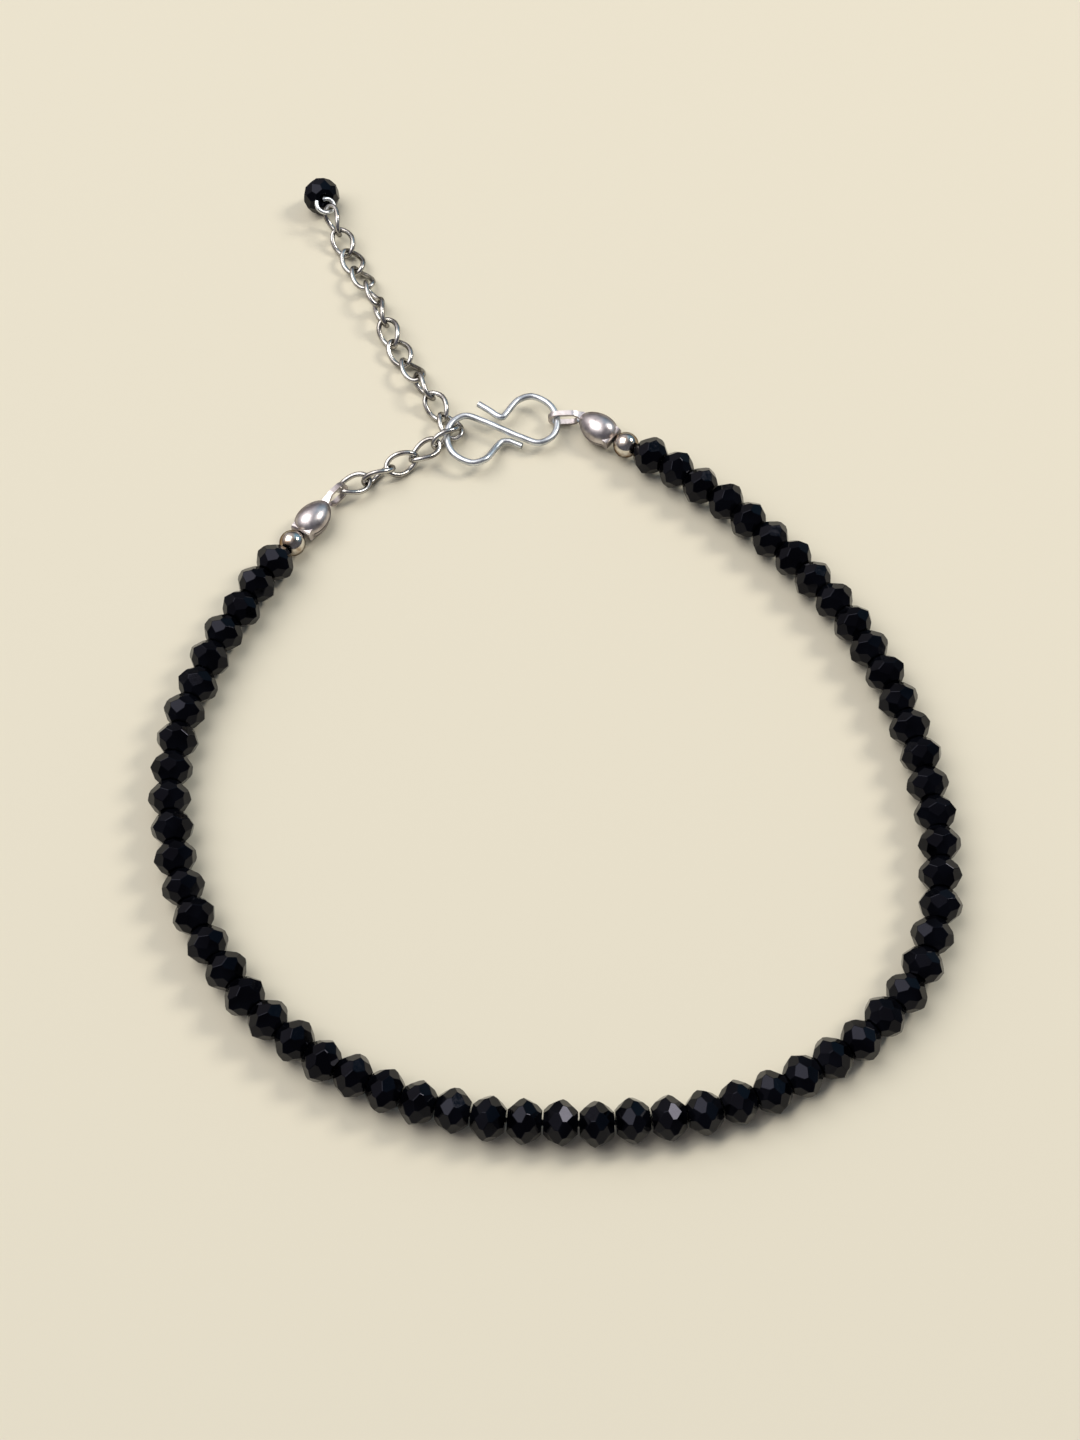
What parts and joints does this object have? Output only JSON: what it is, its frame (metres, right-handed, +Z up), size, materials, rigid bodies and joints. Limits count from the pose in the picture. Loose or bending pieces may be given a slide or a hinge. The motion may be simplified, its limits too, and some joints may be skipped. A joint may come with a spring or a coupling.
{
  "type": "beaded anklet with extension chain",
  "caption": "Anklet strung with black cut-glass rondelles, ending in silver balls and clamshell tips, closed by an S-hook on an extension chain with a bead drop",
  "frame": {"origin": "middle of the bounding box seen from above, on the surface that the anklet lies on", "axes": "+Y runs from the far end of the bead loop towards the clasp and the free end of the chain, +X to the right, +Z up from the surface"},
  "size_m": [0.0746, 0.1092, 0.0041],
  "materials": {
    "black_cut_glass": "polished facets, opaque black",
    "polished_silver": "polished silver plate",
    "satin_silver": "satin silver plate, pressed sheet",
    "bright_wire": "bright silver-plated wire",
    "steel_chain": "bright steel-coloured plated links"
  },
  "bodies": {
    "root": {"bead_string": "black_cut_glass", "end_bead": "black_cut_glass", "end_ball_left": "polished_silver", "end_ball_right": "polished_silver", "clamshell_left": "satin_silver", "clamshell_right": "satin_silver", "s_hook": "bright_wire", "end_pin": "bright_wire", "chain_link_01": "steel_chain", "chain_link_02": "steel_chain", "chain_link_03": "steel_chain", "chain_link_04": "steel_chain", "chain_link_05": "steel_chain", "chain_link_06": "steel_chain", "chain_link_07": "steel_chain", "chain_link_08": "steel_chain", "chain_link_09": "steel_chain", "chain_link_10": "steel_chain", "chain_link_11": "steel_chain", "chain_link_12": "steel_chain", "chain_link_13": "steel_chain", "chain_link_14": "steel_chain", "chain_link_15": "steel_chain", "chain_link_16": "steel_chain", "chain_link_17": "steel_chain"}
  },
  "joints": []
}
